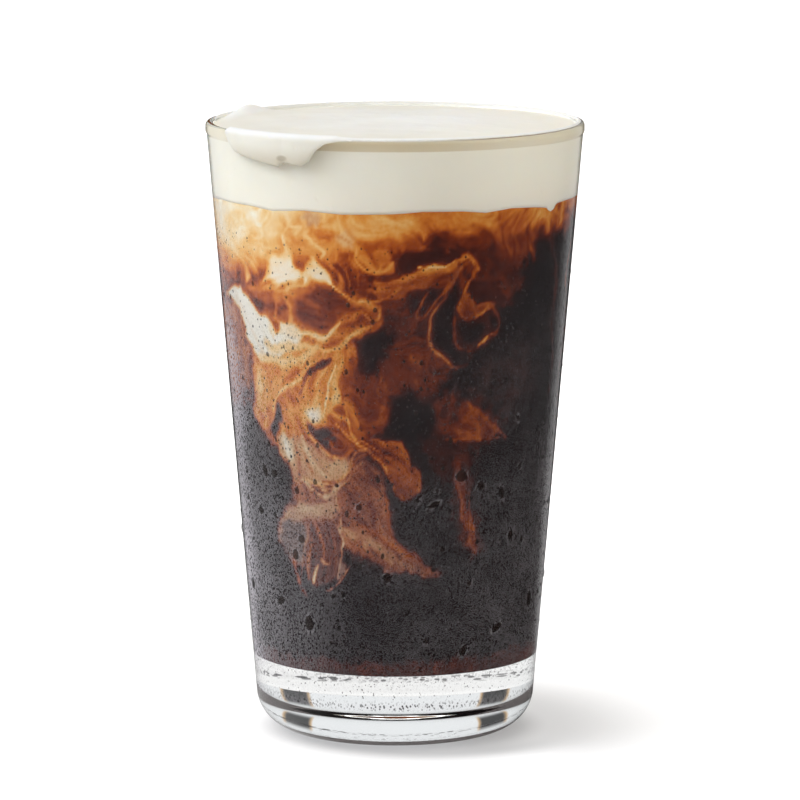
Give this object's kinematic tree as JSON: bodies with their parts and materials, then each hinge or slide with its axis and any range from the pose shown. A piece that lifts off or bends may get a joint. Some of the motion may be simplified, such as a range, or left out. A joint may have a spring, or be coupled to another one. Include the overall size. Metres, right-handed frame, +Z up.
{
  "type": "glass of cold brew coffee",
  "caption": "Tall tapered tumbler with a thick clear foot, filled with marbled cold brew coffee under a cap of pale foam that runs over the rim on one side.",
  "frame": {"origin": "centre of the foot ring on the glass's axis, at the plane it stands on", "axes": "+Z up along the glass's axis; -Y towards the viewer, with the foam's overrun at the front left, towards -X and -Y"},
  "size_m": [0.0862, 0.0862, 0.1412],
  "materials": {
    "clear_glass": "clear, smooth, misted with fine condensation",
    "cold_brew": "dark coffee with cream and amber marbling",
    "cold_foam": "soft, fine-bubbled, off-white"
  },
  "bodies": {
    "root": {"glass": "clear_glass", "coffee": "cold_brew", "foam": "cold_foam"}
  },
  "joints": []
}
